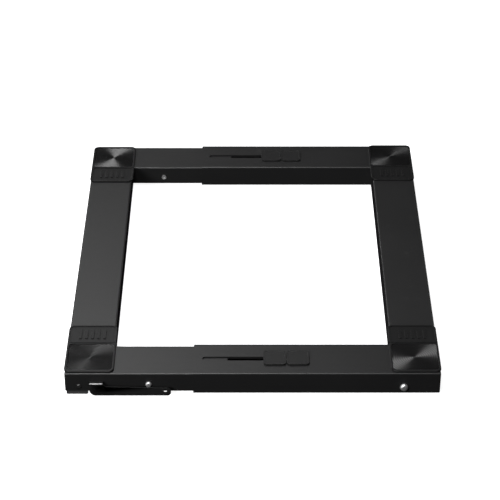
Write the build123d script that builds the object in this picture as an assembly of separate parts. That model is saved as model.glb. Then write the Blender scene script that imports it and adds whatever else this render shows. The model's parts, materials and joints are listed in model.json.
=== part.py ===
"""Telescopic roller base for a household appliance.

Two halves of folded sheet steel make a low rectangular frame. The left half's two arms slide in the
right half's two sleeves, which sets the width, and a clamp on each beam locks it. The left half rests
on two rubber feet and the right half on two rollers. Lifting the lever at the front turns a cross
shaft inside the left rail, whose cranks swing a rocker in each beam and push two more rollers down,
so that the feet leave the floor and the base rolls.

Frame: millimetres, X across the width, Y from the lever side to the back, Z up. The origin is on the
floor, under the middle of the whole base.
"""
import os
from math import cos, radians, sin

from build123d import *

# Frame
width = 512.0  # over the outer faces of the two side rails, as parked
depth = 600.0  # over the outer faces of the left half's two arms
arm_width = 63.4  # across one arm
rail_width = 64.8  # across one side rail
skirt_gap = 7.1  # floor to the lower edge of an arm
sheet = 1.5  # thickness of the steel sheet
bend_radius = 2.0  # outside radius of a fold
slide_gap = 0.4  # between an arm and its sleeve, all round
slide_travel = 50.0  # change of width each way from the parked width
sleeve_lip = 10.0  # inturned lower edge of a sleeve, from its outer face

# Fits
running_fit = 0.08  # radial clearance of a turning shaft or roller
snug_fit = 0.05  # radial clearance of a fixed pin, screw or bush
face_gap = 0.1  # between flat faces that slide past each other

# Fastener heads and cutters
dome_round = 0.8  # share of a domed head's height that is rounded
past = 1.0  # how far a cutter passes the face that it cuts
spare = 10.0  # extra length of a folded block, whose ends are then cut off

# Slots along the top of each beam
slot_width = 8.5
sleeve_slot_inset = 12.2  # from the open end of the sleeve to its slot
slot_end_wall = 8.0  # metal left between the arm's slot and the arm's end

# Rollers
roller_radius = 15.0
tread = 3.0  # rubber on the outside of a roller
tread_edge = 1.2  # radius along both ends of the tread
relief_depth = 2.0  # of the ring-shaped recess in both ends of a core
relief_rim = 2.0  # core left outside that recess
relief_hub = 1.0  # core left inside it, past the spacer's edge
roller_raise = 2.5  # floor to a parked left roller
roller_headroom = 2.2  # parked left roller to the sheet above it
roller_side_gap = 4.9  # roller end to the lip of the sleeve
axle_radius = 3.0
right_axle_inset = 49.5  # right rail's outer face to the right rollers' axle
arm_end_gap = 5.5  # arm end to the right roller at the narrowest width
axle_head_radius = 5.6
axle_head_height = 4.0
nut_across_flats = 10.0
nut_height = 5.0
spacer_radius = 5.0
spacer_end_gap = 0.3
roller_rivet_head = 1.5  # thickness of the heads of a left roller's rivet

# Rockers
pivot_inset = 114.4  # left rail's outer face to the rocker pivots
pivot_rise = 1.0  # rocker pivot above the parked left rollers' axle
pivot_head_radius = 4.45
pivot_head_height = 3.2
pivot_head_gap = 6.15  # pivot bolt's head to the sleeve's end at the narrowest width
pivot_ring_radius = 3.6
pivot_ring_bore = 1.6
pivot_ring_height = 1.5
ring_recess = 0.7  # end of the bolt below the ring's face
rocker_plate = 2.0
rocker_side_gap = 1.0  # roller end to the rocker's side plate
rocker_boss = 7.0  # half height of a side plate at its pivot
rocker_tip = 6.0  # half height of a side plate at the roller's axle
rocker_corner = 5.4  # radius of a side plate's corners beside that axle
roller_reach = 32.0  # pivot to the roller's axle
bridge_start = 52.4  # pivot to the left end of the bridge between the side plates
bridge_gap = 12.9  # right end of that bridge to the roller
fork_wall = 2.75  # metal above and below the fork's mouth
fork_clearance = 0.25  # crank pin to the fork

# Lever, cross shaft and cranks
shaft_inset = 43.2  # left rail's outer face to the cross shaft
shaft_drop = 1.0  # cross shaft below the height of the right rollers' axle
shaft_radius = 4.0
crank_radius = 9.0  # shaft centre to crank pin centre
crank_rest_angle = -22.5  # degrees, above the X axis, while parked
crank_plate = 3.0
crank_hub = 7.0
crank_eye = 5.0
crank_side_gap = 1.5  # crank to the rocker's side plate
crank_pin_radius = 2.5
crank_pin_head = 4.0
crank_pin_head_height = 1.0
crank_pin_head_gap = 0.8  # rocker's side plate to the pin's head
bush_radius = 6.0
bush_flange = 8.0
bush_flange_height = 1.0
clip_radius = 6.5
clip_thickness = 1.0
clip_groove_depth = 0.6
clip_gap = 0.3  # clip to the bush's flange
clip_side_gap = 0.05  # clip to each side of its groove
clip_mouth = 0.8  # half width of the clip's mouth, as a share of its bore's radius
lever_standoff = 5.0  # front wall to the back of the lever
lever_sheet = 1.5
lever_fold = 1.35  # outside radius where the lip is folded back
lever_head_width = 17.9
lever_head_height = 20.2
lever_floor_gap = 3.8
lever_length = 110.7  # left edge of the head to the tip
lever_arm_root = 15.1  # height of the arm beside the head
lever_arm_tip = 12.7  # height of the arm at its tip
lever_step = 4.5  # length of the slope from the head down to the arm
lever_heel_radius = 8.0
lever_tip_radius = 5.0
lever_hole_radius = 2.5
lever_hole_inset = 7.7  # tip to the hole's centre
lever_hole_rise = 8.0  # lower edge to the hole's centre
lever_lip_gap = 0.4  # front wall to the edge of the lever's top lip

# Feet
foot_length = 29.4
foot_depth = 30.0
foot_height = 24.0
foot_corner = 2.0
foot_chamfer = 1.0
foot_screw_inset = 19.4  # left rail's outer face to the screw
foot_screw_rise = 15.3
foot_screw_radius = 1.75
foot_screw_length = 12.0
foot_screw_head_radius = 3.25
foot_screw_head_height = 1.4

# Clamps
cap_size = 31.3
cap_height = 2.5
cap_pitch = 31.7
cap_corner = 5.0
cap_edge = 0.8
clamp_out = 10.0  # how far a loosened clamp slides towards the right rail
clamp_in = 12.0  # how far it slides towards the left rail
clamp_spare = 1.5  # what is left of the arm's slot at the widest setting
clamp_screw_radius = 3.0
clamp_head_radius = 7.0
clamp_head_height = 1.6
clamp_plate_length = 56.0
clamp_plate_width = 24.0
clamp_plate_thickness = 3.0
clamp_plate_corner = 3.0
clamp_screw_tail = 2.0

# Pads
pad_width = 68.0
pad_length = 105.8
pad_thickness = 2.8
pad_corner = 8.0
pad_edge = 0.6  # radius along the upper edge
pad_end_inset = 2.0  # from the beam's outer face
pad_overhang = 0.8  # past the rail's outer face
pad_split = 64.5  # outer end of the pad to the groove that divides it
pad_groove = 1.0
pad_groove_depth = 1.0
seat_size = 59.0
seat_corner = 5.0
seat_depth = 1.0
seat_rim = 4.4  # outer end of the pad to the seat
rib_field = (38.0, 19.0)  # across X and along Y, over the five ribs
rib_count = 5
rib_width = 2.0
rib_height = 0.5
peg_radius = 2.5
peg_tail = 1.0  # what shows of a peg under the sheet

# Places along X and Z
left = -width / 2
right = width / 2
arm_top = roller_raise + 2 * roller_radius + roller_headroom + sheet
arm_inner_top = arm_top - sheet
sleeve_wall = slide_gap + sheet
sleeve_top = arm_top + sleeve_wall
sleeve_bottom = skirt_gap - sleeve_wall
pivot_x = left + pivot_inset
left_axle_x = pivot_x + roller_reach
left_axle_z = roller_raise + roller_radius
pivot_z = left_axle_z + pivot_rise
right_axle_x = right - right_axle_inset
right_axle_z = roller_radius
shaft_x = left + shaft_inset
shaft_z = right_axle_z - shaft_drop
pin_x = shaft_x + crank_radius * cos(radians(crank_rest_angle))
pin_z = shaft_z + crank_radius * sin(radians(crank_rest_angle))
arm_end = right_axle_x - roller_radius - slide_travel - arm_end_gap
sleeve_start = pivot_x + pivot_head_radius + slide_travel + pivot_head_gap
arm_slot_end = arm_end - slot_end_wall
clamp_x = arm_slot_end - slot_width / 2 - slide_travel - clamp_out - clamp_spare - cap_pitch / 2
clamp_left_x = clamp_x - cap_pitch / 2
clamp_right_x = clamp_x + cap_pitch / 2
arm_slot_start = clamp_left_x - slide_travel - clamp_in - clamp_screw_radius - snug_fit
sleeve_slot_start = sleeve_start + sleeve_slot_inset
sleeve_slot_end = clamp_right_x + clamp_out + slot_width / 2
clamp_plate_top = arm_inner_top - face_gap

# Places along Y, for the front beam
front_reach = lever_standoff + lever_sheet
rear_reach = sleeve_wall + axle_head_height
front = (front_reach - depth - rear_reach) / 2
rear = front + depth
middle = (front + rear) / 2
beam_axis = front + arm_width / 2
wall_in = front + sheet  # inside of the arm's outer wall
inner_wall = front + arm_width  # outside of the arm's inner wall
inner_wall_in = inner_wall - sheet
sleeve_front = front - sleeve_wall
sleeve_inner = inner_wall + sleeve_wall
lip_opening = arm_width + 2 * sleeve_wall - 2 * sleeve_lip
roller_length = lip_opening - 2 * roller_side_gap
roller_start = beam_axis - roller_length / 2
roller_end = beam_axis + roller_length / 2
rocker_inner = roller_start - rocker_side_gap
rocker_outer = rocker_inner - rocker_plate
rocker_far_inner = roller_end + rocker_side_gap
rocker_far_outer = rocker_far_inner + rocker_plate
crank_back = rocker_outer - crank_side_gap
crank_front = crank_back - crank_plate

parts = {}


def add(name, shape):
    """Keep one named sub-part."""
    parts[name] = shape


def block(x0, x1, y0, y1, z0, z1):
    """A box between two corners."""
    centre = Pos((x0 + x1) / 2, (y0 + y1) / 2, (z0 + z1) / 2)
    return centre * Box(x1 - x0, y1 - y0, z1 - z0)


def rod(x, z, y0, y1, radius):
    """A round bar along Y."""
    return Pos(x, (y0 + y1) / 2, z) * Rot(90, 0, 0) * Cylinder(radius, y1 - y0)


def tube(x, z, y0, y1, radius, bore):
    """A round tube along Y."""
    return rod(x, z, y0, y1, radius) - rod(x, z, y0 - past, y1 + past, bore)


def post(x, y, z0, z1, radius):
    """A round bar along Z."""
    return Pos(x, y, (z0 + z1) / 2) * Cylinder(radius, z1 - z0)


def plate(outline, y0, y1):
    """An outline drawn in X and Z, as thick as the space from y0 to y1."""
    return extrude(Plane.XZ.offset(-y0) * outline, -(y1 - y0))


def long_hole(x0, x1, y, z0, z1):
    """The cutter for a slot with round ends, along X."""
    outline = Pos((x0 + x1) / 2, y, z0) * SlotOverall(x1 - x0, slot_width)
    return extrude(outline, z1 - z0)


def group(shapes):
    """Several separate solids as one sub-part."""
    return Compound(children=list(shapes))


def at_rear(shape):
    """The same piece on the rear beam, which mirrors the front one."""
    return mirror(shape, about=Plane(origin=(0, middle, 0), z_dir=(0, 1, 0)))


def folded(x0, x1, y0, y1, z0, z1, radius):
    """A block with the round top and upright edges that folded sheet has."""
    solid = block(x0, x1, y0, y1, z0, z1)
    edges = solid.edges().filter_by(Axis.Z) + solid.edges().group_by(Axis.Z)[-1]
    return fillet(edges, radius)


def dome(x, z, face, radius, height):
    """A round screw head that stands out of a wall towards -Y."""
    head = rod(x, z, face - height, face, radius)
    rim = head.edges().group_by(Axis.Y)[0]
    return fillet(rim, height * dome_round)


def arm():
    """The left half's front beam: a channel open below, with a folded end and a slot in its top."""
    shell = folded(left, arm_end + spare, front, inner_wall, skirt_gap, arm_top, bend_radius)
    hollow = folded(left + sheet, arm_end + 2 * spare, wall_in, inner_wall_in, skirt_gap - spare,
                    arm_inner_top, bend_radius - sheet)
    shell -= hollow
    shell -= block(arm_end, arm_end + 3 * spare, front - past, inner_wall + past, 0, arm_top + past)
    shell -= long_hole(arm_slot_start, arm_slot_end, beam_axis, arm_inner_top - past, arm_top + past)
    for y0, y1 in ((front - past, wall_in + past), (inner_wall_in - past, inner_wall + past)):
        shell -= rod(shaft_x, shaft_z, y0, y1, bush_radius + snug_fit)
        shell -= rod(pivot_x, pivot_z, y0, y1, axle_radius + snug_fit)
    screw_hole = foot_screw_radius + snug_fit
    shell -= rod(left + foot_screw_inset, foot_screw_rise, front - past, wall_in + past, screw_hole)
    shell -= peg(left, front, arm_top, pad_seat_centre(), snug_fit)
    return shell


def sleeve():
    """The right half's front beam: a channel that goes round the arm, with inturned lower lips."""
    inner_front = front - slide_gap
    inner_back = inner_wall + slide_gap
    inner_low = skirt_gap - slide_gap
    shell = folded(sleeve_start - spare, right, sleeve_front, sleeve_inner, sleeve_bottom,
                   sleeve_top, bend_radius)
    shell -= folded(sleeve_start - 2 * spare, right - sheet, inner_front, inner_back, inner_low,
                    sleeve_top - sheet, bend_radius - sheet)
    shell -= block(sleeve_start - 3 * spare, right - sheet, sleeve_front + sleeve_lip,
                   sleeve_inner - sleeve_lip, 0, inner_low + past)
    shell -= block(sleeve_start - 3 * spare, sleeve_start, sleeve_front - past, sleeve_inner + past, 0,
                   sleeve_top + past)
    shell -= long_hole(sleeve_slot_start, sleeve_slot_end, beam_axis, sleeve_top - sheet - past,
                       sleeve_top + past)
    shell -= rod(right_axle_x, right_axle_z, sleeve_front - past, front + past, axle_radius + snug_fit)
    shell -= peg(right - pad_width + 2 * pad_overhang, sleeve_front, sleeve_top,
                 pad_seat_centre(), snug_fit)
    return shell


def side_rail(x0, y0, y1, bottom, top, pad_end, pad_x):
    """A channel along Y, open below, that joins the two beams of one half."""
    x1 = x0 + rail_width
    shell = folded(x0, x1, y0 - spare, y1 + spare, bottom, top, bend_radius)
    shell -= folded(x0 + sheet, x1 - sheet, y0 - 2 * spare, y1 + 2 * spare, bottom - spare,
                    top - sheet, bend_radius - sheet)
    for end0, end1 in ((y0 - 2 * spare, y0), (y1, y1 + 2 * spare)):
        shell -= block(x0 - past, x1 + past, end0, end1, bottom - past, top + past)
    pin_hole = peg(pad_x, pad_end, top, pad_rib_centre(), snug_fit)
    return shell - pin_hole - at_rear(pin_hole)


def pad_seat_centre():
    """The middle of the pad's seat, measured from the pad's outer end."""
    return seat_rim + seat_size / 2


def pad_rib_centre():
    """The middle of the pad's ribbed part, measured from the pad's outer end."""
    return (pad_split + pad_groove + pad_length) / 2


def peg(x0, beam_face, top, along, clearance):
    """A locating peg under a pad, or with clearance the hole for it."""
    x = x0 - pad_overhang + pad_width / 2
    y = beam_face + pad_end_inset + along
    return post(x, y, top - sheet - peg_tail, top, peg_radius + clearance)


def pad(x0, beam_face, top):
    """A corner pad at the front: a square seat with a rim, a groove, and a block with ribs."""
    x_mid = x0 - pad_overhang + pad_width / 2
    y0 = beam_face + pad_end_inset
    upper = top + pad_thickness
    outline = Pos(x_mid, y0 + pad_length / 2, top) * RectangleRounded(pad_width, pad_length, pad_corner)
    body = extrude(outline, pad_thickness)
    body = fillet(body.edges().group_by(Axis.Z)[-1], pad_edge)
    seat = Pos(x_mid, y0 + pad_seat_centre(), upper) * RectangleRounded(seat_size, seat_size, seat_corner)
    body -= extrude(seat, -seat_depth)
    body -= block(x_mid - pad_width, x_mid + pad_width, y0 + pad_split, y0 + pad_split + pad_groove,
                  upper - pad_groove_depth, upper + past)
    rib_pitch = (rib_field[0] - rib_width) / (rib_count - 1)
    y_rib = y0 + pad_rib_centre()
    for step in range(rib_count):
        x = x_mid - rib_field[0] / 2 + rib_width / 2 + step * rib_pitch
        body -= block(x - rib_width / 2, x + rib_width / 2, y_rib - rib_field[1] / 2,
                      y_rib + rib_field[1] / 2, upper - rib_height, upper + past)
    body += peg(x0, beam_face, top, pad_seat_centre(), 0)
    body += peg(x0, beam_face, top, pad_rib_centre(), 0)
    return body


def foot():
    """A rubber block in the outer corner of the arm, on which the parked left half rests."""
    x0 = left + sheet
    solid = block(x0, x0 + foot_length, wall_in, wall_in + foot_depth, 0, foot_height)
    solid = fillet(solid.edges().filter_by(Axis.Z), foot_corner)
    solid = chamfer(solid.edges().group_by(Axis.Z)[0], foot_chamfer)
    hole = rod(left + foot_screw_inset, foot_screw_rise, wall_in - past,
               wall_in + foot_screw_length + past, foot_screw_radius + snug_fit)
    return solid - hole


def foot_screw():
    """The round-headed screw that holds a foot to the arm's outer wall."""
    x = left + foot_screw_inset
    head = dome(x, foot_screw_rise, front, foot_screw_head_radius, foot_screw_head_height)
    shank = rod(x, foot_screw_rise, front - foot_screw_head_height / 4,
                wall_in + foot_screw_length, foot_screw_radius)
    return head + shank


def pivot_bolt():
    """The bolt across the beam on which the rocker swings, with a domed head outside."""
    tail = inner_wall + pivot_ring_height - ring_recess
    bolt = dome(pivot_x, pivot_z, front, pivot_head_radius, pivot_head_height)
    bolt += rod(pivot_x, pivot_z, front - past, inner_wall, axle_radius)
    return bolt + rod(pivot_x, pivot_z, inner_wall - past, tail, pivot_ring_bore - snug_fit)


def pivot_ring():
    """The round nut on the tail of the pivot bolt."""
    return tube(pivot_x, pivot_z, inner_wall, inner_wall + pivot_ring_height, pivot_ring_radius,
                pivot_ring_bore)


def pivot_spacers():
    """The two tubes that keep the rocker in the middle of the beam."""
    near = tube(pivot_x, pivot_z, wall_in, rocker_outer - spacer_end_gap, spacer_radius,
                axle_radius + snug_fit)
    far = tube(pivot_x, pivot_z, rocker_far_outer + spacer_end_gap, inner_wall_in, spacer_radius,
               axle_radius + snug_fit)
    return [near, far]


def shaft_bushes():
    """The two flanged bushes that carry the cross shaft through one beam's walls."""
    bushes = []
    for wall, flange in ((front, wall_in), (inner_wall_in, inner_wall_in - bush_flange_height)):
        barrel = rod(shaft_x, shaft_z, wall, wall + sheet, bush_radius)
        barrel += rod(shaft_x, shaft_z, flange, flange + bush_flange_height, bush_flange)
        bore = rod(shaft_x, shaft_z, front - past, inner_wall + past, shaft_radius + running_fit)
        bushes.append(barrel - bore)
    return bushes


def cross_shaft():
    """The shaft from the lever through both beams, with a groove for each clip."""
    shaft = rod(shaft_x, shaft_z, front - lever_standoff, rear - sheet / 2, shaft_radius)
    start = clip_start()
    end = start + clip_thickness
    groove = tube(shaft_x, shaft_z, start - clip_side_gap, end + clip_side_gap, shaft_radius + past,
                  shaft_radius - clip_groove_depth)
    return shaft - groove - at_rear(groove)


def clip_start():
    """Where the clip on the cross shaft begins, behind the front wall's bush."""
    return wall_in + bush_flange_height + clip_gap


def shaft_clip():
    """A spring clip that keeps the cross shaft from sliding out."""
    start = clip_start()
    bore = shaft_radius - clip_groove_depth + snug_fit
    ring = tube(shaft_x, shaft_z, start, start + clip_thickness, clip_radius, bore)
    half = bore * clip_mouth
    mouth = block(shaft_x - half, shaft_x + half, start - past, start + clip_thickness + past,
                  shaft_z - clip_radius - past, shaft_z)
    return ring - mouth


def crank():
    """The plate on the cross shaft that carries the crank pin."""
    hub = Pos(shaft_x, shaft_z) * Circle(crank_hub)
    eye = Pos(pin_x, pin_z) * Circle(crank_eye)
    outline = make_hull((hub + eye).edges())
    solid = plate(outline, crank_front, crank_back)
    solid -= rod(shaft_x, shaft_z, crank_front - past, crank_back + past, shaft_radius + snug_fit)
    return solid - rod(pin_x, pin_z, crank_front - past, crank_back + past, crank_pin_radius + snug_fit)


def crank_pin():
    """The pin that works in the rocker's fork, with a head that keeps the fork on it."""
    head_start = rocker_inner + crank_pin_head_gap
    pin = rod(pin_x, pin_z, crank_front, head_start + crank_pin_head_height, crank_pin_radius)
    return pin + rod(pin_x, pin_z, head_start, head_start + crank_pin_head_height, crank_pin_head)


def lever():
    """The foot lever: a flat plate in front of the beam with a lip folded back over its head."""
    x0 = shaft_x - lever_head_width / 2
    x1 = x0 + lever_head_width
    tip = x0 + lever_length
    low = lever_floor_gap
    high = low + lever_head_height
    points = [
        (x0, low),
        (tip, low),
        (tip, low + lever_arm_tip),
        (x1 + lever_step, low + lever_arm_root),
        (x1, high),
        (x0, high),
    ]
    outline = make_face(Polyline(*points, close=True))
    corners = outline.vertices()
    heel = corners.sort_by_distance((x0, low))[0]
    outline = fillet(heel, lever_heel_radius)
    tips = outline.vertices().sort_by_distance((tip, low + lever_arm_tip / 2))[:2]
    outline = fillet(tips, lever_tip_radius)
    back = front - lever_standoff
    solid = plate(outline, back - lever_sheet, back)
    solid += block(x0, x1, back - lever_sheet, front - lever_lip_gap, high - lever_sheet, high)
    fold = solid.edges().filter_by(Axis.X).group_by(Axis.Z)[-1].group_by(Axis.Y)[0]
    solid = fillet(fold, lever_fold)
    hole = rod(tip - lever_hole_inset, low + lever_hole_rise, back - lever_sheet - past, back + past,
               lever_hole_radius)
    return solid - hole


def rocker():
    """Two side plates and a bridge: a fork on the crank pin, a pivot, and the roller's axle."""
    fork_half = crank_pin_radius + fork_clearance + fork_wall
    mouth_half = crank_pin_radius + fork_clearance
    fork_x = pin_x - crank_pin_radius
    end_x = left_axle_x + rocker_tip
    points = [
        (fork_x, pin_z - fork_half),
        (pin_x + 2 * fork_half, pin_z - fork_half),
        (pivot_x, pivot_z - rocker_boss),
        (end_x, left_axle_z - rocker_tip),
        (end_x, left_axle_z + rocker_tip),
        (pivot_x, pivot_z + rocker_boss),
        (pivot_x - bridge_start, pivot_z + rocker_boss),
        (fork_x, pin_z + fork_half),
    ]
    outline = make_face(Polyline(*points, close=True))
    ends = outline.vertices().group_by(Axis.X)[-1]
    outline = fillet(ends, rocker_corner)
    near = plate(outline, rocker_outer, rocker_inner)
    near -= block(fork_x - past, pin_x + 2 * crank_pin_radius, rocker_outer - past, rocker_inner + past,
                  pin_z - mouth_half, pin_z + mouth_half)
    bare = block(fork_x - past, pivot_x - bridge_start, rocker_far_inner - past, rocker_far_outer + past,
                 0, arm_top)
    far = plate(outline, rocker_far_inner, rocker_far_outer) - bare
    bridge_end = left_axle_x - roller_radius - bridge_gap
    bridge = block(pivot_x - bridge_start, bridge_end, rocker_outer, rocker_far_outer,
                   pivot_z + rocker_boss - rocker_plate, pivot_z + rocker_boss)
    solid = near + far + bridge
    solid -= rod(pivot_x, pivot_z, front, inner_wall, axle_radius + running_fit)
    return solid - rod(left_axle_x, left_axle_z, front, inner_wall, axle_radius + snug_fit)


def roller_rivet():
    """The axle of a left roller, riveted over outside both side plates of the rocker."""
    near = rocker_outer - roller_rivet_head
    far = rocker_far_outer + roller_rivet_head
    rivet = rod(left_axle_x, left_axle_z, near, far, axle_radius)
    rivet += rod(left_axle_x, left_axle_z, near, rocker_outer, spacer_radius)
    return rivet + rod(left_axle_x, left_axle_z, rocker_far_outer, far, spacer_radius)


def roller_core(x, z):
    """The plastic core of a roller, relieved at both ends between its hub and its rim."""
    core_radius = roller_radius - tread
    core = rod(x, z, roller_start, roller_end, core_radius)
    core -= rod(x, z, roller_start - past, roller_end + past, axle_radius + running_fit)
    relief = tube(x, z, roller_start - past, roller_start + relief_depth, core_radius - relief_rim,
                  spacer_radius + relief_hub)
    return core - relief - at_beam_end(relief)


def at_beam_end(shape):
    """The same cutter at the other end of a roller."""
    return mirror(shape, about=Plane(origin=(0, beam_axis, 0), z_dir=(0, 1, 0)))


def roller_tread(x, z):
    """The rubber tread on a roller, with rounded edges."""
    core_radius = roller_radius - tread
    solid = rod(x, z, roller_start, roller_end, roller_radius)
    solid = fillet(solid.edges().filter_by(GeomType.CIRCLE), tread_edge)
    return solid - rod(x, z, roller_start - past, roller_end + past, core_radius)


def axle_bolt():
    """The bolt across the sleeve that carries a right roller, with a domed head outside."""
    tail = inner_wall + slide_gap - spacer_end_gap
    bolt = dome(right_axle_x, right_axle_z, sleeve_front, axle_head_radius, axle_head_height)
    return bolt + rod(right_axle_x, right_axle_z, sleeve_front - past, tail, axle_radius)


def axle_nut():
    """The hexagon nut welded inside the sleeve's inner wall."""
    outline = Pos(right_axle_x, right_axle_z) * RegularPolygon(nut_across_flats / 2, 6, major_radius=False)
    face = inner_wall + slide_gap
    solid = plate(outline, face - nut_height, face)
    return solid - rod(right_axle_x, right_axle_z, face - nut_height - past, face + past,
                       axle_radius + snug_fit)


def axle_spacers():
    """The two tubes that keep a right roller in the middle of its sleeve."""
    bore = axle_radius + snug_fit
    near = tube(right_axle_x, right_axle_z, front - slide_gap, roller_start - spacer_end_gap,
                spacer_radius, bore)
    far = tube(right_axle_x, right_axle_z, roller_end + spacer_end_gap,
               inner_wall + slide_gap - nut_height, spacer_radius, bore)
    return [near, far]


def clamp_cap(x):
    """A square plastic cap that snaps over the head of a clamp screw."""
    base = sleeve_top + face_gap
    outline = Pos(x, beam_axis, base) * RectangleRounded(cap_size, cap_size, cap_corner)
    solid = extrude(outline, cap_height)
    solid = fillet(solid.edges().group_by(Axis.Z)[-1], cap_edge)
    return solid - post(x, beam_axis, base - past, base + clamp_head_height + face_gap,
                        clamp_head_radius + snug_fit)


def clamp_screw(x):
    """A low-headed screw through both slots into the clamp plate."""
    base = sleeve_top + face_gap
    tail = clamp_plate_top - clamp_plate_thickness - clamp_screw_tail
    head = post(x, beam_axis, base, base + clamp_head_height, clamp_head_radius)
    return head + post(x, beam_axis, tail, base + clamp_head_height / 2, clamp_screw_radius)


def clamp_plate():
    """The threaded plate under the arm's top that both clamp screws pull up."""
    half = clamp_plate_length / 2
    solid = block(clamp_x - half, clamp_x + half, beam_axis - clamp_plate_width / 2,
                  beam_axis + clamp_plate_width / 2, clamp_plate_top - clamp_plate_thickness,
                  clamp_plate_top)
    solid = fillet(solid.edges().filter_by(Axis.Z), clamp_plate_corner)
    for x in (clamp_left_x, clamp_right_x):
        solid -= post(x, beam_axis, clamp_plate_top - clamp_plate_thickness - past,
                      clamp_plate_top + past, clamp_screw_radius + snug_fit)
    return solid


def add_pair(front_name, rear_name, shape):
    """Keep a piece of the front beam and its mirror image on the rear beam."""
    add(front_name, shape)
    add(rear_name, at_rear(shape))


def add_left_half():
    """The half with the arms, the feet and the pivots."""
    add_pair("left_front_arm", "left_rear_arm", arm())
    add("left_side_rail", side_rail(left, inner_wall, rear - arm_width, skirt_gap, arm_top,
                                    front, left))
    add_pair("front_left_pad", "rear_left_pad", pad(left, front, arm_top))
    add_pair("front_left_foot", "rear_left_foot", foot())
    add("foot_screws", group([foot_screw(), at_rear(foot_screw())]))
    add_pair("front_pivot_bolt", "rear_pivot_bolt", pivot_bolt())
    add("pivot_rings", group([pivot_ring(), at_rear(pivot_ring())]))
    spacers = pivot_spacers()
    add("pivot_spacers", group(spacers + [at_rear(piece) for piece in spacers]))
    bushes = shaft_bushes()
    add("shaft_bushes", group(bushes + [at_rear(piece) for piece in bushes]))


def add_right_half():
    """The half with the sleeves and the fixed rollers' axles."""
    pad_x = right - pad_width + 2 * pad_overhang
    rail_start = inner_wall + sleeve_wall
    add_pair("right_front_sleeve", "right_rear_sleeve", sleeve())
    add("right_side_rail", side_rail(right - rail_width, rail_start, 2 * middle - rail_start,
                                     sleeve_bottom, sleeve_top, sleeve_front, pad_x))
    add_pair("front_right_pad", "rear_right_pad", pad(pad_x, sleeve_front, sleeve_top))
    add_pair("front_axle_bolt", "rear_axle_bolt", axle_bolt())
    add("axle_nuts", group([axle_nut(), at_rear(axle_nut())]))
    spacers = axle_spacers()
    add("axle_spacers", group(spacers + [at_rear(piece) for piece in spacers]))


def add_rollers():
    """The four rollers, each a core and its tread."""
    places = {"left": (left_axle_x, left_axle_z), "right": (right_axle_x, right_axle_z)}
    for side, (x, z) in places.items():
        add_pair(f"front_{side}_roller_core", f"rear_{side}_roller_core", roller_core(x, z))
        add_pair(f"front_{side}_roller_tread", f"rear_{side}_roller_tread", roller_tread(x, z))


def add_lever_gear():
    """The lever, the shaft that it turns and what swings with the shaft."""
    add("foot_lever", lever())
    add("cross_shaft", cross_shaft())
    add("shaft_clips", group([shaft_clip(), at_rear(shaft_clip())]))
    add_pair("front_crank", "rear_crank", crank())
    add("crank_pins", group([crank_pin(), at_rear(crank_pin())]))
    add_pair("front_rocker", "rear_rocker", rocker())
    add_pair("front_roller_rivet", "rear_roller_rivet", roller_rivet())


def add_clamps():
    """The clamp on each beam: two caps, two screws and a threaded plate."""
    add_pair("front_cap_left", "rear_cap_left", clamp_cap(clamp_left_x))
    add_pair("front_cap_right", "rear_cap_right", clamp_cap(clamp_right_x))
    screws = [clamp_screw(clamp_left_x), clamp_screw(clamp_right_x)]
    add("front_clamp_screws", group(screws))
    add("rear_clamp_screws", group([at_rear(piece) for piece in screws]))
    add_pair("front_clamp_plate", "rear_clamp_plate", clamp_plate())


add_left_half()
add_right_half()
add_rollers()
add_lever_gear()
add_clamps()

os.makedirs("parts", exist_ok=True)
for name, shape in parts.items():
    export_step(shape, f"parts/{name}.step")
print(len(parts), "sub-parts")
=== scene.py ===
# Telescopic roller base for a household appliance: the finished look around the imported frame.
import json
import math

import bmesh
import bpy
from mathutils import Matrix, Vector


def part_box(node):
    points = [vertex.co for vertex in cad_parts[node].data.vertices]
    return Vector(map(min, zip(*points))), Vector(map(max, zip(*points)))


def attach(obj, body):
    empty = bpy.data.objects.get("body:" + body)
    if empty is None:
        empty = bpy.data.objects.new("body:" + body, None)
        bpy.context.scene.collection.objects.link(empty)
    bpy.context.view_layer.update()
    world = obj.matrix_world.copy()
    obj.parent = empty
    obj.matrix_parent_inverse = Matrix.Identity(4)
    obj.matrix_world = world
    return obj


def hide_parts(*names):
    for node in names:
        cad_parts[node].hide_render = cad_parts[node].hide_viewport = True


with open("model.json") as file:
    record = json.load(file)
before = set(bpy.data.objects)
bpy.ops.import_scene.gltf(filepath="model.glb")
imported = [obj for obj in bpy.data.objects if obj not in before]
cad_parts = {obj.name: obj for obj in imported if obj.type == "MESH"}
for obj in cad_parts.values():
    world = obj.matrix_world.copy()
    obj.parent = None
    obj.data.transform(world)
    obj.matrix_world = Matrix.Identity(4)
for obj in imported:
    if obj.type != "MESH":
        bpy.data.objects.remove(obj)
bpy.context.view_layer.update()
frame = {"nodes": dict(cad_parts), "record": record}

mm = 0.001
same = 0.01 * mm  # places this close are one place
near = 0.1 * mm  # how far from a face or an edge still counts as on it
past = 1.0 * mm  # how far a cutter reaches beyond what it cuts
roundBelow = 32  # faces that meet at less than this many degrees are shaded round

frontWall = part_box("left_front_arm")[0][1]
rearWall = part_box("left_rear_arm")[1][1]
middleY = (frontWall + rearWall) / 2
print("frame loaded")


def soloSelect(piece):
    if bpy.context.object and bpy.context.object.mode != "OBJECT":
        bpy.ops.object.mode_set(mode="OBJECT")
    bpy.ops.object.select_all(action="DESELECT")
    piece.select_set(True)
    bpy.context.view_layer.objects.active = piece


def addBlock(name, low, high):
    # a cube added at its size and place, with the place kept in its mesh
    bpy.ops.object.select_all(action="DESELECT")
    centre = [(a + b) / 2 for a, b in zip(low, high)]
    size = [b - a for a, b in zip(low, high)]
    bpy.ops.mesh.primitive_cube_add(size=1, location=centre, scale=size)
    piece = bpy.context.object
    piece.name = name
    bpy.ops.object.transform_apply(location=True, rotation=True, scale=True)
    return piece


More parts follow.
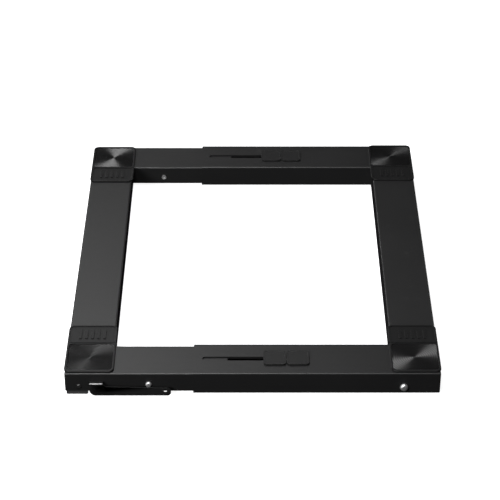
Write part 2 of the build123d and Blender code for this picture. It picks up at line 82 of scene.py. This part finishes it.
def addRod(name, centre, radius, length, turn=(0, 0, 0), sides=48):
    bpy.ops.object.select_all(action="DESELECT")
    bpy.ops.mesh.primitive_cylinder_add(vertices=sides, radius=radius, depth=length,
                                        location=centre, rotation=turn)
    piece = bpy.context.object
    piece.name = name
    bpy.ops.object.transform_apply(location=True, rotation=True, scale=True)
    return piece


def edit(piece, kind):
    soloSelect(piece)
    bpy.ops.object.mode_set(mode="EDIT")
    bpy.ops.mesh.select_mode(type=kind)


def leave():
    bpy.ops.object.mode_set(mode="OBJECT")


def pick(piece, kind, wanted):
    # selects the vertices, edges or faces for which wanted(item) is true
    groups = {"VERT": "verts", "EDGE": "edges", "FACE": "faces"}
    bpy.ops.mesh.select_mode(type=kind)
    bpy.ops.mesh.select_all(action="DESELECT")
    mesh = bmesh.from_edit_mesh(piece.data)
    for item in getattr(mesh, groups[kind]):
        item.select_set(wanted(item))
    mesh.select_flush_mode()
    bmesh.update_edit_mesh(piece.data)


def isUpright(edge):
    a, b = (v.co for v in edge.verts)
    return abs(a.x - b.x) < same and abs(a.y - b.y) < same


def roundCorners(piece, radius, segments=8):
    edit(piece, "EDGE")
    pick(piece, "EDGE", isUpright)
    bpy.ops.mesh.bevel(offset=radius, segments=segments, affect="EDGES")
    leave()


def carve(piece, cutter):
    # takes the cutter's space out of the piece
    soloSelect(piece)
    cut = piece.modifiers.new("carve", "BOOLEAN")
    cut.operation = "DIFFERENCE"
    cut.solver = "EXACT"
    cut.object = cutter
    bpy.ops.object.modifier_apply(modifier=cut.name)
    bpy.data.objects.remove(cutter, do_unlink=True)


def softenEdges(piece, width, segments):
    soloSelect(piece)
    soft = piece.modifiers.new("soft", "BEVEL")
    soft.width = width
    soft.segments = segments
    soft.limit_method = "ANGLE"
    soft.angle_limit = math.radians(roundBelow)
    bpy.ops.object.modifier_apply(modifier=soft.name)


def smooth(piece, angle=roundBelow):
    # round where the faces nearly meet, flat across every broad face
    soloSelect(piece)
    bpy.ops.object.shade_smooth_by_angle(angle=math.radians(angle))
    level = piece.modifiers.new("level", "WEIGHTED_NORMAL")
    level.keep_sharp = True
    bpy.ops.object.modifier_apply(modifier=level.name)


def joinInto(piece, others):
    soloSelect(piece)
    for other in others:
        other.select_set(True)
    bpy.ops.object.join()


def copyOf(piece, name, move=(0, 0, 0)):
    # a copy with its own mesh, moved inside that mesh
    made = piece.copy()
    made.data = piece.data.copy()
    made.name = name
    bpy.context.collection.objects.link(made)
    soloSelect(made)
    bpy.ops.object.mode_set(mode="EDIT")
    bpy.ops.mesh.select_all(action="SELECT")
    bpy.ops.transform.translate(value=move)
    leave()
    return made


def rearCopyOf(piece, name, angle=roundBelow):
    # the mirror image on the rear beam, with its faces turned outwards again
    made = copyOf(piece, name)
    soloSelect(made)
    bpy.ops.mesh.customdata_custom_splitnormals_clear()
    bpy.ops.object.mode_set(mode="EDIT")
    bpy.ops.mesh.select_all(action="SELECT")
    bpy.ops.transform.resize(value=(1, -1, 1), center_override=(0, middleY, 0))
    bpy.ops.mesh.normals_make_consistent(inside=False)
    leave()
    smooth(made, angle)
    return made


class Wire:
    # a socket on which Python's own signs add Math nodes
    def __init__(self, paint, socket):
        self.paint = paint
        self.socket = socket

    def maths(self, operation, first, second):
        return self.paint.add("ShaderNodeMath", {"operation": operation}, {0: first, 1: second})

    def __add__(self, other):
        return self.maths("ADD", self, other)

    def __radd__(self, other):
        return self.maths("ADD", other, self)

    def __mul__(self, other):
        return self.maths("MULTIPLY", self, other)

    def __rmul__(self, other):
        return self.maths("MULTIPLY", other, self)

    def between(self, low, high):
        # 0 below low, 1 above high
        return self.paint.add("ShaderNodeMapRange", {"clamp": True},
                              {"Value": self, "From Min": low, "From Max": high})


class Paint:
    # one node material, started from its plain shader
    def __init__(self, name):
        self.material = bpy.data.materials.new(name)
        self.material.use_nodes = True
        self.tree = self.material.node_tree
        self.shader = self.tree.nodes["Principled BSDF"]
        self.place = self.add("ShaderNodeTexCoord", output="Object")

    def add(self, kind, settings=None, values=None, output=0):
        made = self.tree.nodes.new(kind)
        for key, value in (settings or {}).items():
            setattr(made, key, value)
        for key, value in (values or {}).items():
            self.feed(made.inputs[key], value)
        return Wire(self, made.outputs[output])

    def feed(self, socket, value):
        if isinstance(value, Wire):
            self.tree.links.new(value.socket, socket)
        else:
            socket.default_value = value

    def noise(self, scale, detail=2.0, stretch=(1, 1, 1)):
        spot = self.add("ShaderNodeMapping", values={"Vector": self.place, "Scale": stretch})
        return self.add("ShaderNodeTexNoise",
                        values={"Vector": spot, "Scale": scale, "Detail": detail})

    def blend(self, factor, first, second):
        return self.add("ShaderNodeMix", {"data_type": "RGBA"}, {0: factor, 6: first, 7: second},
                        output=2)

    def bump(self, height, strength, distance):
        return self.add("ShaderNodeBump",
                        values={"Height": height, "Strength": strength, "Distance": distance})

    def finish(self, **sockets):
        for name, value in sockets.items():
            self.feed(self.shader.inputs[name.replace("_", " ")], value)
        return self.material


def grey(level):
    return (level, level, level * 1.02, 1)


# Shades are linear. A scale says how fine a pattern is, and a range where it begins and is full.
coatLook = {
    "dark": 0.0075, "light": 0.0105, "gloss": 0.36, "specular": 0.42,
    "grainScale": 1100, "grainStrength": 0.16, "grainHeight": 0.12 * mm, "cloudScale": 9,
    "rubScale": 60, "rubRange": (0.66, 0.78), "rubAmount": 0.25, "rubShade": 2.2,
    "dustScale": 420, "dustRange": (0.74, 0.80), "dustAmount": 0.18, "dustShade": 0.06,
}
gearLook = {**coatLook, "gloss": 0.45, "grainScale": 700}


def powderCoat(name, look):
    # satin paint: fine orange peel, faint clouds, long rubbed streaks and a little dust
    paint = Paint(name)
    grain = paint.noise(look["grainScale"])
    clouds = paint.noise(look["cloudScale"], 3.0)
    rubs = paint.noise(look["rubScale"], 4.0, (1, 1, 9)).between(*look["rubRange"])
    dust = paint.noise(look["dustScale"], 1.0).between(*look["dustRange"])
    colour = paint.blend(clouds, grey(look["dark"]), grey(look["light"]))
    colour = paint.blend(rubs * look["rubAmount"], colour, grey(look["light"] * look["rubShade"]))
    colour = paint.blend(dust * look["dustAmount"], colour, grey(look["dustShade"]))
    rough = look["gloss"] + clouds * 0.06 + grain * 0.05 + rubs * 0.08
    normal = paint.bump(grain, look["grainStrength"], look["grainHeight"])
    return paint.finish(Base_Color=colour, Roughness=rough, Normal=normal,
                        Specular_IOR_Level=look["specular"])


rubberLook = {
    "dark": 0.0065, "light": 0.0095, "gloss": 0.35, "specular": 0.18,
    "grainScale": 2200, "grainStrength": 0.2, "grainHeight": 0.08 * mm, "cloudScale": 35,
    "speckScale": 900, "speckRange": (0.72, 0.80), "speckAmount": 0.2, "speckShade": 3,
}
# the seat's rings: the same rubber, glossier, with its colour made darker as painted shade in the grooved
# seat
ringLookPaintedShade = {**rubberLook, "dark": 0.0055, "light": 0.0085, "gloss": 0.15, "specular": 0.40,
            "grainStrength": 0.02}


def mouldedRubber(name, look):
    # the pads' rubber: fine grain, faint clouds and pale specks
    paint = Paint(name)
    grain = paint.noise(look["grainScale"])
    clouds = paint.noise(look["cloudScale"], 3.0)
    specks = paint.noise(look["speckScale"], 1.0).between(*look["speckRange"])
    colour = paint.blend(clouds, grey(look["dark"]), grey(look["light"]))
    colour = paint.blend(specks * look["speckAmount"], colour, grey(look["light"] * look["speckShade"]))
    rough = look["gloss"] + clouds * 0.08 + grain * 0.06
    normal = paint.bump(grain, look["grainStrength"], look["grainHeight"])
    return paint.finish(Base_Color=colour, Roughness=rough, Normal=normal,
                        Specular_IOR_Level=look["specular"])


mouldedLook = {
    "grainScale": 1800, "grainStrength": 0.22, "grainHeight": 0.1 * mm, "flowScale": 40,
    "scuffScale": 220, "scuffRange": (0.62, 0.75), "scuffAmount": 0.2, "scuffShade": 1.8,
}
footLook = {**mouldedLook, "dark": 0.036, "light": 0.05, "gloss": 0.62, "specular": 0.4,
            "grainScale": 1500}
treadLook = {**mouldedLook, "dark": 0.018, "light": 0.026, "gloss": 0.6, "specular": 0.4,
             "grainScale": 1300}
capPlasticLook = {**mouldedLook, "dark": 0.008, "light": 0.011, "gloss": 0.42, "specular": 0.27,
                  "grainScale": 2400}
nylonLook = {**mouldedLook, "dark": 0.10, "light": 0.13, "gloss": 0.5, "specular": 0.45}
coreLook = {**mouldedLook, "dark": 0.022, "light": 0.03, "gloss": 0.46, "specular": 0.45}


def moulded(name, look):
    # plastic or rubber with a fine spark-eroded grain and faint flow marks
    paint = Paint(name)
    grain = paint.noise(look["grainScale"])
    flow = paint.noise(look["flowScale"], 3.0, (1, 3, 1))
    scuff = paint.noise(look["scuffScale"], 3.0, (4, 1, 1)).between(*look["scuffRange"])
    colour = paint.blend(flow, grey(look["dark"]), grey(look["light"]))
    colour = paint.blend(scuff * look["scuffAmount"], colour, grey(look["light"] * look["scuffShade"]))
    rough = look["gloss"] + flow * 0.07 + scuff * 0.1
    normal = paint.bump(grain + scuff * 0.5, look["grainStrength"], look["grainHeight"])
    return paint.finish(Base_Color=colour, Roughness=rough, Normal=normal,
                        Specular_IOR_Level=look["specular"])


# marks are drawn out along the axis that has the small stretch
metalLook = {
    "markScale": 900, "markStrength": 0.12, "markHeight": 0.05 * mm, "cloudScale": 120,
    "pitScale": 2600, "pitRange": (0.70, 0.78), "pitAmount": 0.35, "metallic": 0.95,
}
zincLook = {**metalLook, "shade": 0.80, "gloss": 0.38, "stretch": (1, 0.1, 1)}
wornLook = {**metalLook, "shade": 0.42, "gloss": 0.46, "stretch": (0.15, 1, 1)}
blackedLook = {**metalLook, "shade": 0.10, "gloss": 0.38, "stretch": (1, 0.1, 1)}
turnedLook = {**metalLook, "shade": 0.42, "gloss": 0.28, "stretch": (0.1, 1, 0.1)}


def metal(name, look):
    # plated, worn or turned steel: fine drawn marks, a soft tarnish and small pits
    paint = Paint(name)
    shade = look["shade"]
    marks = paint.noise(look["markScale"], 2.0, look["stretch"])
    cloud = paint.noise(look["cloudScale"], 3.0)
    pits = paint.noise(look["pitScale"], 1.0).between(*look["pitRange"])
    colour = paint.blend(cloud, (shade, shade, shade, 1), grey(shade * 0.8))
    colour = paint.blend(pits * look["pitAmount"], colour, grey(shade * 0.4))
    rough = look["gloss"] + marks * 0.10 + cloud * 0.08
    normal = paint.bump(marks, look["markStrength"], look["markHeight"])
    return paint.finish(Base_Color=colour, Roughness=rough, Normal=normal, Metallic=look["metallic"])


finishes = {
    "frame_steel": powderCoat("satinBlackCoat", coatLook),
    "gear_steel": powderCoat("gearBlackCoat", gearLook),
    "pad_rubber": mouldedRubber("padRubber", rubberLook),
    "pad_rings": mouldedRubber("padRingsPaintedShade", ringLookPaintedShade),
    "foot_rubber": moulded("footRubber", footLook),
    "bright_steel": metal("brightZinc", zincLook),
    "worn_steel": metal("wornSteel", wornLook),
    "black_screw": metal("blackedSteel", blackedLook),
    "shaft_steel": metal("turnedSteel", turnedLook),
    "roller_core_plastic": moulded("coreNylon", coreLook),
    "roller_tread_rubber": moulded("treadRubber", treadLook),
    "cap_plastic": moulded("capPlastic", capPlasticLook),
    "bush_plastic": moulded("bushNylon", nylonLook),
}
slotOf = {row["node"]: row["material_slot"] for row in frame["record"]["subparts"]}


def dress(piece, slot):
    piece.data.materials.clear()
    piece.data.materials.append(finishes[slot])


for node in frame["nodes"]:
    cadPiece = bpy.data.objects[node]
    for place in cadPiece.material_slots:
        place.material = finishes[slotOf[node]]
print("materials made:", len(finishes))


# the four rubber pads: a round-grooved seat, a dividing groove and a sunk field with ribs
padLook = {
    "thickness": 2.8 * mm, "corner": 8 * mm, "edge": 0.9 * mm, "softness": 0.22 * mm,
    "splitAt": 65.0 * mm, "splitWidth": 1.0 * mm, "splitDepth": 1.4 * mm,
    "seatStart": 3.6 * mm, "seatEnd": 62.8 * mm, "seatSide": 2.7 * mm, "seatCorner": 6 * mm,
    "seatDepth": 0.9 * mm, "ringPitch": 3.1 * mm, "ringDepth": 0.35 * mm, "ringSteps": 144,
    "ringCrease": 16, "ringLap": 0.3 * mm, "ringBase": 1.4 * mm,
    "fieldStart": 66.6 * mm, "fieldEnd": 103.2 * mm, "fieldCorner": 5 * mm, "fieldDepth": 1.1 * mm,
    "ribs": 5, "ribSpan": 38 * mm, "ribLength": 21 * mm, "ribWidth": 4.2 * mm, "ribSink": 0.5 * mm,
    "ribRoundness": 0.48, "ribSoftness": 0.25 * mm,
}


def ringPlate(low, high, top, look):
    # concentric grooves: a zigzag line spun about the middle of the seat and trimmed to the seat
    centre = [(a + b) / 2 for a, b in zip(low, high)]
    reach = math.hypot(high[0] - centre[0], high[1] - centre[1])
    waves = math.ceil(reach / look["ringPitch"])
    length = waves * look["ringPitch"]
    bpy.ops.object.select_all(action="DESELECT")
    bpy.ops.mesh.primitive_grid_add(x_subdivisions=waves * 2, y_subdivisions=1, size=length,
                                    location=(centre[0] + length / 2, centre[1], top))
    plate = bpy.context.object
    bpy.ops.object.transform_apply(location=True, rotation=True, scale=True)
    edit(plate, "VERT")
    pick(plate, "VERT", lambda v: v.co.y > centre[1])
    bpy.ops.mesh.delete(type="VERT")
    bpy.ops.mesh.select_all(action="SELECT")
    bpy.ops.transform.translate(value=(0, length / 2, 0))
    # every other point goes down, which leaves slopes that are all alike
    pick(plate, "VERT", lambda v: round((v.co.x - centre[0]) / look["ringPitch"] * 2) % 2 == 1)
    bpy.ops.transform.translate(value=(0, 0, -look["ringDepth"]))
    bpy.ops.mesh.select_all(action="SELECT")
    bpy.ops.mesh.spin(steps=look["ringSteps"], angle=2 * math.pi, center=(*centre, top),
                      axis=(0, 0, 1))
    bpy.ops.mesh.select_all(action="SELECT")
    bpy.ops.mesh.remove_doubles(threshold=same)
    for side in (0, 1):
        for corner, way in ((low, -1), (high, 1)):
            across = [way if axis == side else 0 for axis in range(3)]
            bpy.ops.mesh.select_all(action="SELECT")
            bpy.ops.mesh.bisect(plane_co=(*corner, top), plane_no=across, clear_outer=True)
    bpy.ops.mesh.select_all(action="SELECT")
    bpy.ops.mesh.normals_make_consistent(inside=False)
    # a skirt and a flat underside close the plate
    pick(plate, "EDGE", lambda e: len(e.link_faces) == 1)
    base = top - look["ringBase"]
    bpy.ops.mesh.extrude_region_move(TRANSFORM_OT_translate={"value": (0, 0, -look["ringBase"])})
    bpy.ops.transform.resize(value=(1, 1, 0), center_override=(0, 0, base))
    bpy.ops.mesh.edge_face_add()
    bpy.ops.mesh.select_all(action="SELECT")
    bpy.ops.mesh.normals_make_consistent(inside=False)
    leave()
    smooth(plate, look["ringCrease"])
    return plate


def addRibs(low, high, base, top, look):
    # one rounded rib, copied across the sunk field
    y = low[1] + (look["fieldStart"] + look["fieldEnd"]) / 2
    x = (low[0] + high[0] - look["ribSpan"]) / 2
    rib = addBlock("rib", (x, y - look["ribLength"] / 2, base),
                   (x + look["ribWidth"], y + look["ribLength"] / 2, top))
    roundCorners(rib, look["ribWidth"] * look["ribRoundness"], 5)
    softenEdges(rib, look["ribSoftness"], 2)
    smooth(rib)
    pitch = (look["ribSpan"] - look["ribWidth"]) / (look["ribs"] - 1)
    return [rib] + [copyOf(rib, "rib", (step * pitch, 0, 0)) for step in range(1, look["ribs"])]


def makePad(name, node, look):
    low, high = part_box(node)
    top = high[2]
    pad = addBlock(name, (low[0], low[1], top - look["thickness"]), high)
    roundCorners(pad, look["corner"], 12)
    edit(pad, "EDGE")
    pick(pad, "EDGE", lambda e: all(v.co.z > top - near for v in e.verts))
    bpy.ops.mesh.bevel(offset=look["edge"], segments=4, affect="EDGES")
    leave()
    splitLow = low[1] + look["splitAt"] - look["splitWidth"] / 2
    split = addBlock("splitCut", (low[0] - past, splitLow, top - look["splitDepth"]),
                     (high[0] + past, splitLow + look["splitWidth"], top + past))
    carve(pad, split)
    seatLow = (low[0] + look["seatSide"], low[1] + look["seatStart"])
    seatHigh = (high[0] - look["seatSide"], low[1] + look["seatEnd"])
    seatFloor = top - look["seatDepth"]
    seat = addBlock("seatCut", (*seatLow, seatFloor - look["ringDepth"]), (*seatHigh, top + past))
    roundCorners(seat, look["seatCorner"])
    carve(pad, seat)
    fieldFloor = top - look["fieldDepth"]
    field = addBlock("fieldCut", (seatLow[0], low[1] + look["fieldStart"], fieldFloor),
                     (seatHigh[0], low[1] + look["fieldEnd"], top + past))
    roundCorners(field, look["fieldCorner"])
    carve(pad, field)
    softenEdges(pad, look["softness"], 2)
    smooth(pad)
    # the plate and the ribs run a little into the pad around them
    lap = look["ringLap"]
    rings = ringPlate([v - lap for v in seatLow], [v + lap for v in seatHigh], seatFloor, look)
    # the rings take the darker rubber, whose darkness is painted shade
    dress(rings, "pad_rings")
    ribs = addRibs(low, high, fieldFloor - look["ribSink"], top, look)
    for part in [pad] + ribs:
        dress(part, "pad_rubber")
    joinInto(pad, [rings] + ribs)
    return pad


frontLeftPad = makePad("frontLeftPad", "front_left_pad", padLook)
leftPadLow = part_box("front_left_pad")[0]
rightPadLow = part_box("front_right_pad")[0]
padShift = tuple(b - a for a, b in zip(leftPadLow, rightPadLow))
frontRightPad = copyOf(frontLeftPad, "frontRightPad", padShift)
pads = {
    "front_left_pad": frontLeftPad,
    "front_right_pad": frontRightPad,
    "rear_left_pad": rearCopyOf(frontLeftPad, "rearLeftPad", padLook["ringCrease"]),
    "rear_right_pad": rearCopyOf(frontRightPad, "rearRightPad", padLook["ringCrease"]),
}
for node, pad in pads.items():
    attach(pad, "left_frame" if "left" in node else "right_frame")
    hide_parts(node)
print("pads made")


# the caps over the clamp screws, a pair on each beam
capLook = {"corner": 5 * mm, "rim": 2.2 * mm, "dish": 0.35 * mm, "softness": 0.275 * mm}


def makeCap(name, node, look):
    low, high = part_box(node)
    cap = addBlock(name, low, high)
    roundCorners(cap, look["corner"])
    edit(cap, "FACE")
    pick(cap, "FACE", lambda f: f.normal.z > 0.9)
    bpy.ops.mesh.inset(thickness=look["rim"])
    bpy.ops.mesh.extrude_region_move(TRANSFORM_OT_translate={"value": (0, 0, -look["dish"])})
    leave()
    softenEdges(cap, look["softness"], 3)
    smooth(cap)
    dress(cap, "cap_plastic")
    return cap


firstCap = makeCap("frontCapLeft", "front_cap_left", capLook)
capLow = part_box("front_cap_left")[0]
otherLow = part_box("front_cap_right")[0]
secondCap = copyOf(firstCap, "frontCapRight", tuple(b - a for a, b in zip(capLow, otherLow)))
caps = {
    "front_cap_left": firstCap,
    "front_cap_right": secondCap,
    "rear_cap_left": rearCopyOf(firstCap, "rearCapLeft"),
    "rear_cap_right": rearCopyOf(secondCap, "rearCapRight"),
}
for node, cap in caps.items():
    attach(cap, "front_clamp" if "front" in node else "rear_clamp")
    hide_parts(node)
print("caps made")


# the foot lever at the front left
leverLook = {
    "headWidth": 17.9 * mm, "rootHeight": 15.1 * mm, "tipHeight": 12.7 * mm, "step": 4.5 * mm,
    "heelRadius": 8 * mm, "tipRadius": 5 * mm, "sheet": 1.5 * mm, "holeRadius": 2.5 * mm,
    "holeFromTip": 7.7 * mm, "holeRise": 8 * mm, "holeCut": 8 * mm, "softness": 0.35 * mm,
    "wornEdge": 1.3 * mm, "wornTilt": 0.2, "weld": 0.05 * mm,
    "teeth": 9, "toothGap": 0.6 * mm, "toothDepth": 0.4 * mm, "toothStart": 1.6 * mm,
}


def makeLever(look):
    low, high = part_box("foot_lever")
    neck = low[0] + look["headWidth"]
    backY = low[1] + look["sheet"]
    lever = addBlock("footLever", low, (neck, backY, high[2]))
    edit(lever, "FACE")
    bpy.ops.mesh.select_all(action="SELECT")
    bpy.ops.mesh.bisect(plane_co=(0, 0, low[2] + look["rootHeight"]), plane_no=(0, 0, 1))
    bpy.ops.mesh.select_all(action="SELECT")
    bpy.ops.mesh.bisect(plane_co=(0, 0, high[2] - look["sheet"]), plane_no=(0, 0, 1))
    armTop = low[2] + look["rootHeight"]
    pick(lever, "FACE", lambda f: f.normal.x > 0.9 and f.calc_center_median().z < armTop)
    bpy.ops.mesh.extrude_region_move(TRANSFORM_OT_translate={"value": (look["step"], 0, 0)})
    bpy.ops.mesh.extrude_region_move(
        TRANSFORM_OT_translate={"value": (high[0] - neck - look["step"], 0, 0)})
    bpy.ops.transform.resize(value=(1, 1, look["tipHeight"] / look["rootHeight"]),
                             center_override=(high[0], low[1], low[2]))
    # the slope from the head down to the arm: the face beside the head is pushed out at its foot
    lipUnderside = high[2] - look["sheet"]
    pick(lever, "FACE",
         lambda f: f.normal.x > 0.9 and armTop < f.calc_center_median().z < lipUnderside)
    bpy.ops.mesh.extrude_region_move(TRANSFORM_OT_translate={"value": (look["step"], 0, 0)})
    almostFlat = 0.001
    bpy.ops.transform.resize(value=(1, 1, almostFlat), center_override=(neck, low[1], armTop))
    # the lip folded back towards the wall
    pick(lever, "FACE", lambda f: f.normal.y > 0.9 and f.calc_center_median().z > lipUnderside)
    bpy.ops.mesh.extrude_region_move(TRANSFORM_OT_translate={"value": (0, high[1] - backY, 0)})
    bpy.ops.mesh.select_all(action="SELECT")
    bpy.ops.mesh.remove_doubles(threshold=look["weld"])
    bpy.ops.mesh.normals_make_consistent(inside=False)

    def acrossAt(edge, x, z):
        a, b = (v.co for v in edge.verts)
        across = abs(a.x - b.x) < same and abs(a.z - b.z) < same
        return across and abs(a.x - x) < near and abs(a.z - z) < near

    pick(lever, "EDGE", lambda e: acrossAt(e, low[0], low[2]))
    bpy.ops.mesh.bevel(offset=look["heelRadius"], segments=10, affect="EDGES")
    tipTop = low[2] + look["tipHeight"]
    pick(lever, "EDGE", lambda e: acrossAt(e, high[0], low[2]) or acrossAt(e, high[0], tipTop))
    bpy.ops.mesh.bevel(offset=look["tipRadius"], segments=8, affect="EDGES")
    leave()
    hole = addRod("holeCut", (high[0] - look["holeFromTip"], low[1], low[2] + look["holeRise"]),
                  look["holeRadius"], look["holeCut"], (math.pi / 2, 0, 0))
    carve(lever, hole)
    edit(lever, "EDGE")
    pick(lever, "EDGE",
         lambda e: all(v.co.z > high[2] - near and v.co.y < low[1] + near for v in e.verts))
    bpy.ops.mesh.bevel(offset=look["wornEdge"], segments=5, affect="EDGES")
    leave()
    softenEdges(lever, look["softness"], 2)
    # grooves across the top of the lip give the shoe some grip
    for step in range(look["teeth"]):
        x = low[0] + look["headWidth"] * (step + 1) / (look["teeth"] + 1)
        gap = look["toothGap"] / 2
        groove = addBlock("gripCut", (x - gap, low[1] + look["toothStart"], high[2] - look["toothDepth"]),
                          (x + gap, high[1] + past, high[2] + past))
        carve(lever, groove)
    smooth(lever)
    dress(lever, "frame_steel")
    # the coat is worn down to bare steel along the rounded front of the lip
    lever.data.materials.append(finishes["worn_steel"])
    edit(lever, "FACE")

    def isWorn(face):
        middle = face.calc_center_median()
        inFront = middle.y < low[1] + look["wornEdge"]
        return face.normal.z > look["wornTilt"] and inFront and middle.z > high[2] - look["wornEdge"]

    pick(lever, "FACE", isWorn)
    lever.active_material_index = 1
    bpy.ops.object.material_slot_assign()
    leave()
    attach(lever, "lever_gear")
    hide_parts("foot_lever")


makeLever(leverLook)
print("lever made")


# the rubber feet under the left half
footForm = {"corner": 2 * mm, "grooves": 4, "grooveWidth": 2 * mm, "grooveDepth": 1.6 * mm,
            "softness": 0.7 * mm, "screwRadius": 1.8 * mm, "screwInset": 5 * mm, "screwCut": 16.2 * mm}


def makeFoot(look):
    low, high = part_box("front_left_foot")
    screwLow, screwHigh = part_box("foot_screws")
    foot = addBlock("frontLeftFoot", low, high)
    roundCorners(foot, look["corner"], 5)
    span = high[1] - low[1]
    for step in range(look["grooves"]):
        y = low[1] + span * (step + 1) / (look["grooves"] + 1)
        half = look["grooveWidth"] / 2
        groove = addBlock("soleCut", (low[0] - past, y - half, low[2] - past),
                          (high[0] + past, y + half, low[2] + look["grooveDepth"]))
        carve(foot, groove)
    screwX = (screwLow[0] + screwHigh[0]) / 2
    screwZ = (screwLow[2] + screwHigh[2]) / 2
    hole = addRod("screwCut", (screwX, low[1] + look["screwInset"], screwZ), look["screwRadius"],
                  look["screwCut"], (math.pi / 2, 0, 0), 24)
    carve(foot, hole)
    softenEdges(foot, look["softness"], 3)
    smooth(foot)
    dress(foot, "foot_rubber")
    return foot


frontLeftFoot = makeFoot(footForm)
feet = {"front_left_foot": frontLeftFoot, "rear_left_foot": rearCopyOf(frontLeftFoot, "rearLeftFoot")}
for node, foot in feet.items():
    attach(foot, "left_frame")
    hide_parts(node)
print("feet made")


# floor, light and camera
studio = {
    "floorSize": 40.0, "floorDrop": 0.2 * mm, "floorShade": 0.86, "floorGlow": 0.95,
    "panels": (
        # name, place, size and power
        ("overheadPanel", (-0.25, -0.8, 1.7), 0.5, 31),
        ("nearBackPanel", (-0.47, 1.3, 1.5), 0.6, 2.2),
        ("highBackPanel", (-0.8, 2.33, 3.15), 1.2, 28),
        ("lowBackPanel", (-1.96, 3.39, 0.83), 1.0, 15),
        ("sidePanel", (-1.5, -2.0, 1.0), 0.8, 48),
        ("farSidePanel", (2.2, 2.6, 0.9), 1.0, 9),
    ),
    "backdrop": 1.0, "fill": 0.004,
}


def addFloor(look):
    bpy.ops.object.select_all(action="DESELECT")
    bpy.ops.mesh.primitive_plane_add(size=look["floorSize"], location=(0, 0, -look["floorDrop"]))
    floor = bpy.context.object
    floor.name = "studioFloor"
    paint = Paint("palePaper")
    tone = paint.noise(3, 2.0)
    shade = paint.blend(tone, grey(look["floorShade"]), grey(look["floorShade"] * 1.02))
    floor.data.materials.append(paint.finish(
        Base_Color=shade, Roughness=0.9, Specular_IOR_Level=0.0,
        Emission_Color=(1, 1, 1, 1), Emission_Strength=look["floorGlow"]))
    floor.visible_glossy = False
    floor.visible_diffuse = False


def addPanel(name, place, size, power):
    # a square lamp turned towards the origin
    bpy.ops.object.select_all(action="DESELECT")
    bpy.ops.object.light_add(type="AREA", location=place)
    panel = bpy.context.object
    panel.name = name
    panel.data.shape = "SQUARE"
    panel.data.size = size
    panel.data.energy = power
    x, y, z = place
    panel.rotation_euler = (math.atan2(math.hypot(x, y), z), 0, math.atan2(x, -y))


# place in metres, downward angle in degrees, lens and sensor in millimetres
cameraLook = {"x": -3.4 * mm, "before": 1938.6 * mm, "height": 1546.6 * mm, "down": 34,
              "lens": 130.1, "sensor": 36, "reach": 60}


def addCamera(look):
    bpy.ops.object.camera_add(location=(look["x"], frontWall - look["before"], look["height"]),
                              rotation=(math.radians(90 - look["down"]), 0, 0))
    camera = bpy.context.object
    camera.data.lens = look["lens"]
    camera.data.sensor_width = look["sensor"]
    camera.data.clip_end = look["reach"]
    bpy.context.scene.camera = camera


def addBackdrop(look):
    # a white surround to look at, with only a little light of its own on the object
    world = bpy.context.scene.world or bpy.data.worlds.new("studioWorld")
    bpy.context.scene.world = world
    world.use_nodes = True
    tree = world.node_tree
    sky = tree.nodes["Background"]
    sky.inputs["Color"].default_value = (1, 1, 1, 1)
    sky.inputs["Strength"].default_value = look["fill"]
    white = tree.nodes.new("ShaderNodeBackground")
    white.inputs["Strength"].default_value = look["backdrop"]
    white.inputs["Color"].default_value = (1, 1, 1, 1)
    seen = tree.nodes.new("ShaderNodeLightPath")
    chosen = tree.nodes.new("ShaderNodeMixShader")
    tree.links.new(seen.outputs["Is Camera Ray"], chosen.inputs[0])
    tree.links.new(sky.outputs[0], chosen.inputs[1])
    tree.links.new(white.outputs[0], chosen.inputs[2])
    tree.links.new(chosen.outputs[0], tree.nodes["World Output"].inputs["Surface"])


addFloor(studio)
for panel in studio["panels"]:
    addPanel(*panel)
addBackdrop(studio)
bpy.context.scene.view_settings.view_transform = "Standard"
addCamera(cameraLook)
print("studio made")
